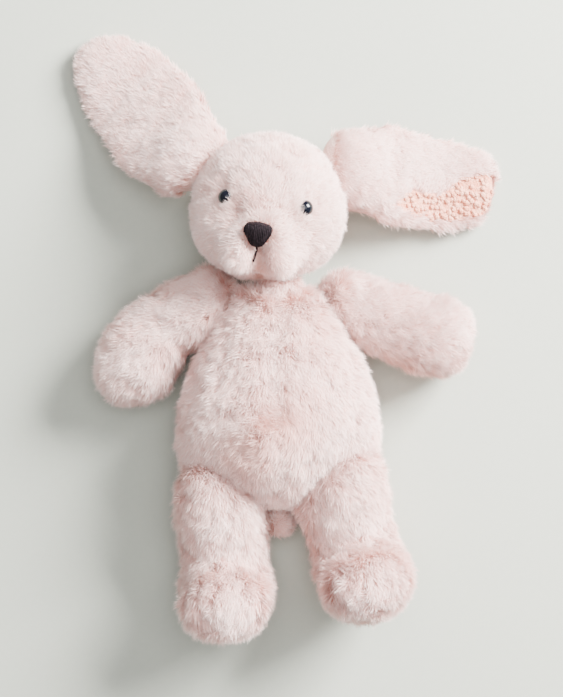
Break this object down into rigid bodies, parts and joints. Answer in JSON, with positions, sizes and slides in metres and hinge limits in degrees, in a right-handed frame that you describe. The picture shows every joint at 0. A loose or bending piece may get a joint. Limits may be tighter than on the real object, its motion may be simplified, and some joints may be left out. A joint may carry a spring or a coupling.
{
  "type": "plush rabbit",
  "caption": "Soft stuffed rabbit with long floppy ears, round head and pear-shaped body, lying on its back, with jointed head, ears, arms, legs and tail.",
  "frame": {"origin": "on the flat patch of the back that the rabbit rests on, under the middle of its torso", "axes": "+Z is the rabbit's front, +Y runs towards its head, +X is its own left"},
  "size_m": [0.1956, 0.2759, 0.0637],
  "materials": {
    "plush": "soft pale pink plush with a deep pile",
    "ear_lining": "nubby peach lining",
    "embroidery": "dark satin-stitched thread",
    "eye_plastic": "glossy black",
    "washer_plastic": "plain white",
    "stuffing": "loose polyester fibre",
    "pellet_bag": "thin woven bag of plastic pellets"
  },
  "bodies": {
    "torso": {"torso_front_left": "plush", "torso_front_right": "plush", "torso_back_left": "plush", "torso_back_right": "plush", "torso_stuffing": "stuffing", "seat_pellet_bag": "pellet_bag"},
    "neck": {"neck_wad": "stuffing"},
    "head": {"head_gusset": "plush", "head_left_side": "plush", "head_right_side": "plush", "head_back_left": "plush", "head_back_right": "plush", "head_stuffing": "stuffing", "nose": "embroidery", "mouth_stitch": "embroidery", "eye_left": "eye_plastic", "eye_right": "eye_plastic", "eye_left_washer": "washer_plastic", "eye_right_washer": "washer_plastic"},
    "ear_left_base": {"ear_left_root": "plush"},
    "ear_left_blade": {"ear_left_plush": "plush", "ear_left_lining": "ear_lining"},
    "ear_right_base": {"ear_right_root": "plush"},
    "ear_right_blade": {"ear_right_plush": "plush", "ear_right_lining": "ear_lining"},
    "shoulder_left": {"shoulder_left_wad": "stuffing"},
    "arm_left": {"arm_left_front": "plush", "arm_left_back": "plush", "arm_left_stuffing": "stuffing"},
    "shoulder_right": {"shoulder_right_wad": "stuffing"},
    "arm_right": {"arm_right_front": "plush", "arm_right_back": "plush", "arm_right_stuffing": "stuffing"},
    "hip_left": {"hip_left_wad": "stuffing"},
    "leg_left": {"leg_left_front": "plush", "leg_left_back": "plush", "leg_left_stuffing": "stuffing"},
    "hip_right": {"hip_right_wad": "stuffing"},
    "leg_right": {"leg_right_front": "plush", "leg_right_back": "plush", "leg_right_stuffing": "stuffing"},
    "tail": {"tail_cover": "plush", "tail_stuffing": "stuffing"}
  },
  "joints": [
    {"name": "neck_nod", "type": "hinge", "parent": "torso", "child": "neck", "pos_m": [0, 0.05, 0.025], "axis": [1, 0, 0], "range_deg": [-20, 25]},
    {"name": "neck_turn", "type": "hinge", "parent": "neck", "child": "head", "pos_m": [0, 0.05, 0.025], "axis": [0, 1, 0], "range_deg": [-45, 45]},
    {"name": "ear_left_swing", "type": "hinge", "parent": "head", "child": "ear_left_base", "pos_m": [0.03043, 0.10327, 0.022], "axis": [0, 0, 1], "range_deg": [-14, 35]},
    {"name": "ear_left_fold", "type": "hinge", "parent": "ear_left_base", "child": "ear_left_blade", "pos_m": [0.0544, 0.10201, 0.0162], "axis": [-0.0523, -0.9986, 0], "range_deg": [-20, 60]},
    {"name": "ear_right_swing", "type": "hinge", "parent": "head", "child": "ear_right_base", "pos_m": [-0.03394, 0.11231, 0.022], "axis": [0, 0, -1], "range_deg": [-35, 14]},
    {"name": "ear_right_fold", "type": "hinge", "parent": "ear_right_base", "child": "ear_right_blade", "pos_m": [-0.05091, 0.12928, 0.0162], "axis": [0.7071, 0.7071, 0], "range_deg": [-20, 60]},
    {"name": "shoulder_left_swing", "type": "hinge", "parent": "torso", "child": "shoulder_left", "pos_m": [0.0345, 0.041, 0.018], "axis": [0, -1, 0], "range_deg": [-15, 50]},
    {"name": "shoulder_left_lift", "type": "hinge", "parent": "shoulder_left", "child": "arm_left", "pos_m": [0.0345, 0.041, 0.018], "axis": [0, 0, 1], "range_deg": [-25, 40]},
    {"name": "shoulder_right_swing", "type": "hinge", "parent": "torso", "child": "shoulder_right", "pos_m": [-0.0345, 0.0395, 0.018], "axis": [0, 1, 0], "range_deg": [-15, 50]},
    {"name": "shoulder_right_lift", "type": "hinge", "parent": "shoulder_right", "child": "arm_right", "pos_m": [-0.0345, 0.0395, 0.018], "axis": [0, 0, -1], "range_deg": [0, 50]},
    {"name": "hip_left_splay", "type": "hinge", "parent": "torso", "child": "hip_left", "pos_m": [0.027, -0.043, 0.02], "axis": [0, 0, 1], "range_deg": [-8, 12]},
    {"name": "hip_left_bend", "type": "hinge", "parent": "hip_left", "child": "leg_left", "pos_m": [0.027, -0.043, 0.02], "axis": [-0.9511, -0.309, 0], "range_deg": [-15, 70]},
    {"name": "hip_right_splay", "type": "hinge", "parent": "torso", "child": "hip_right", "pos_m": [-0.026, -0.049, 0.02], "axis": [0, 0, -1], "range_deg": [0, 25]},
    {"name": "hip_right_bend", "type": "hinge", "parent": "hip_right", "child": "leg_right", "pos_m": [-0.026, -0.049, 0.02], "axis": [-0.9986, -0.0523, 0], "range_deg": [-15, 70]},
    {"name": "tail_flop", "type": "hinge", "parent": "torso", "child": "tail", "pos_m": [0, -0.0465, 0.012], "axis": [-1, 0, 0], "range_deg": [-15, 10]}
  ]
}
